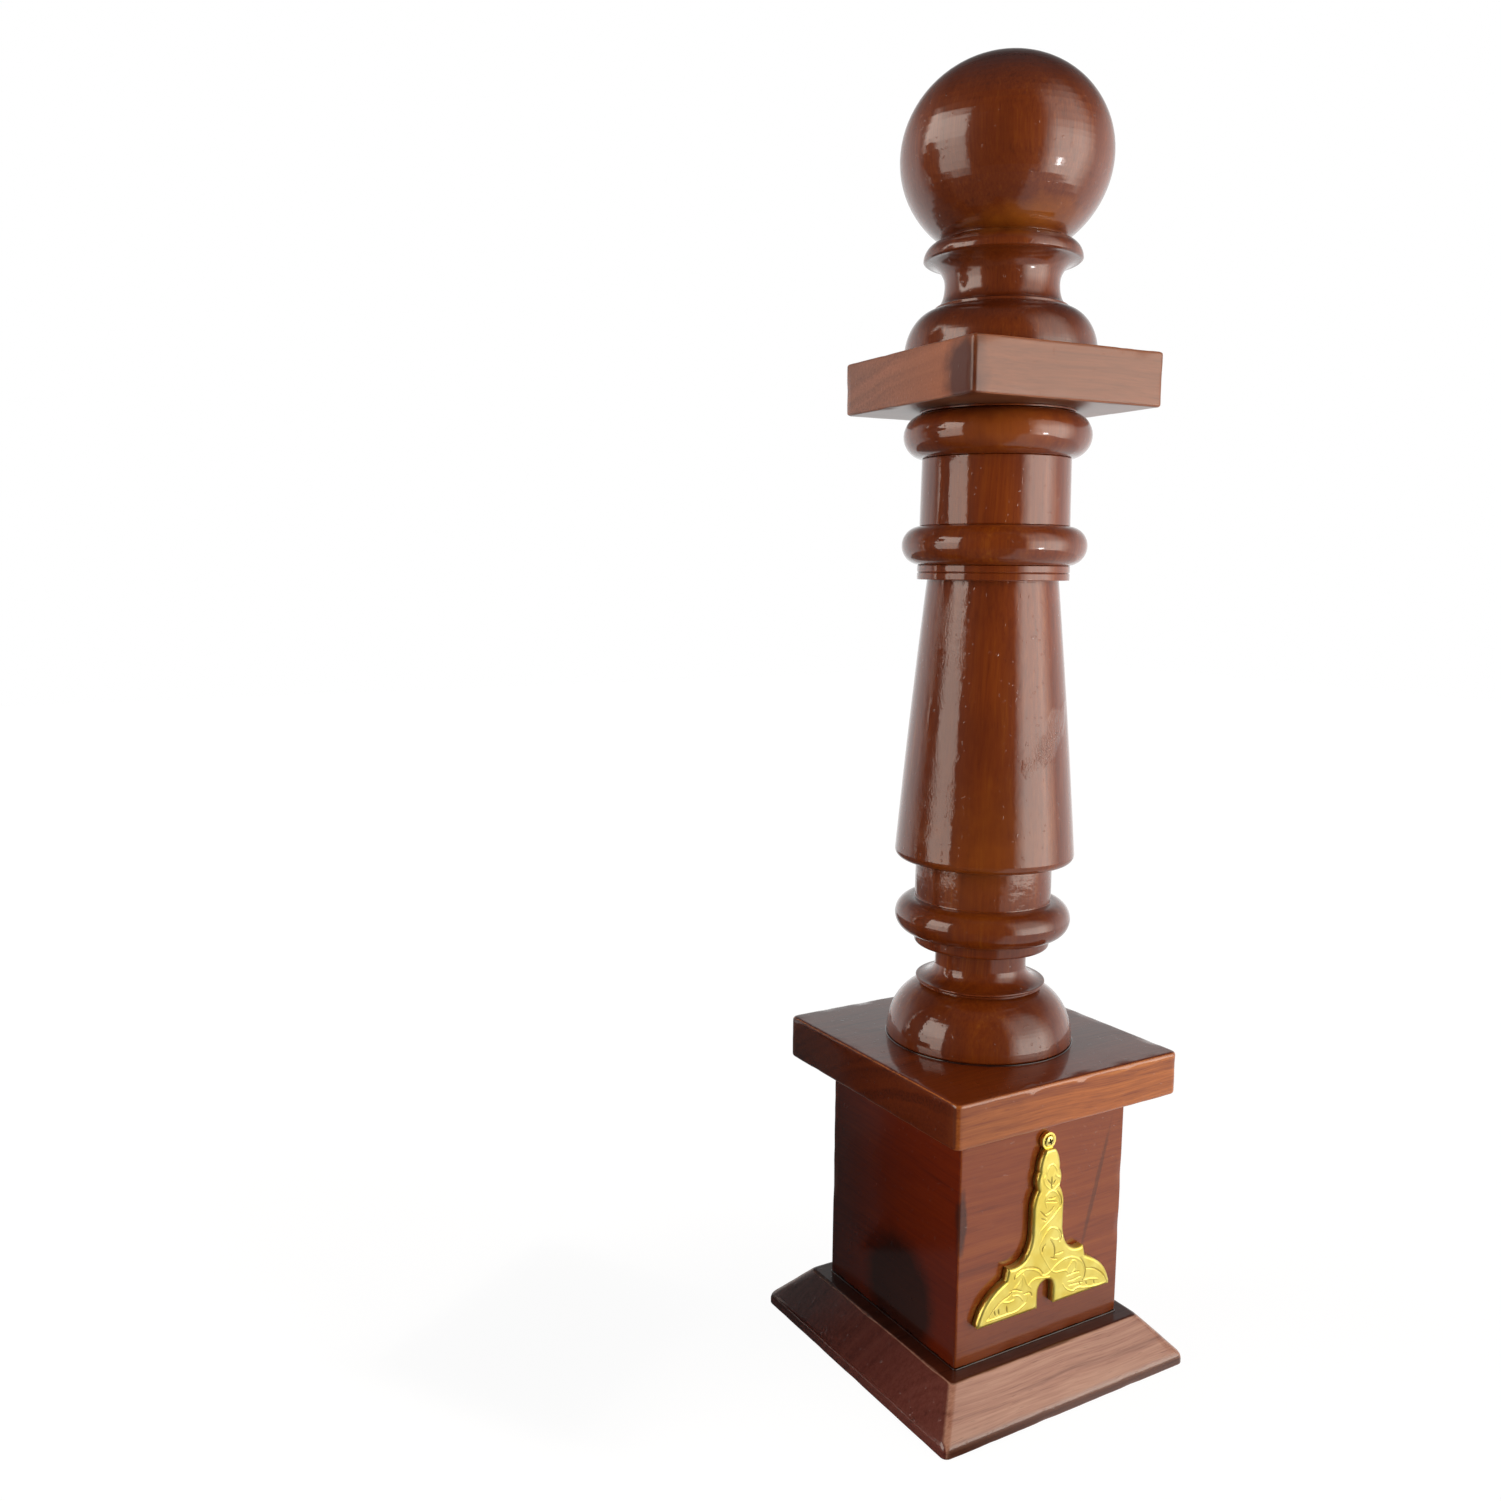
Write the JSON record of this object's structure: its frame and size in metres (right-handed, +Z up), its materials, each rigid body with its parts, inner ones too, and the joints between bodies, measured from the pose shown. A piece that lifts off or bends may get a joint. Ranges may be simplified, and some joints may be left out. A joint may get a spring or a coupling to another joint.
{
  "type": "masonic column",
  "caption": "Turned wooden lodge column on a square pedestal, with an abacus, a ball finial and a screwed-on brass level emblem.",
  "frame": {"origin": "centre of the underside of the base plinth", "axes": "+Z up along the column's axis, the emblem on the -Y face, +X to the right as the emblem is seen"},
  "size_m": [0.124, 0.124, 0.5128],
  "materials": {
    "board_wood": "mahogany-stained boards under gloss varnish",
    "die_wood": "mahogany-stained boards with knots under gloss varnish",
    "turned_wood": "turned wood, amber to red-brown stain, thick gloss varnish",
    "gilt_brass": "polished gilt brass with engraved scrollwork",
    "screw_brass": "bright brass screw"
  },
  "bodies": {
    "root": {"base_plinth": "board_wood", "pedestal_die": "die_wood", "pedestal_cap": "board_wood", "column_shaft": "turned_wood", "abacus": "board_wood", "ball_finial": "turned_wood", "level_emblem": "gilt_brass", "emblem_screw": "screw_brass"}
  },
  "joints": []
}
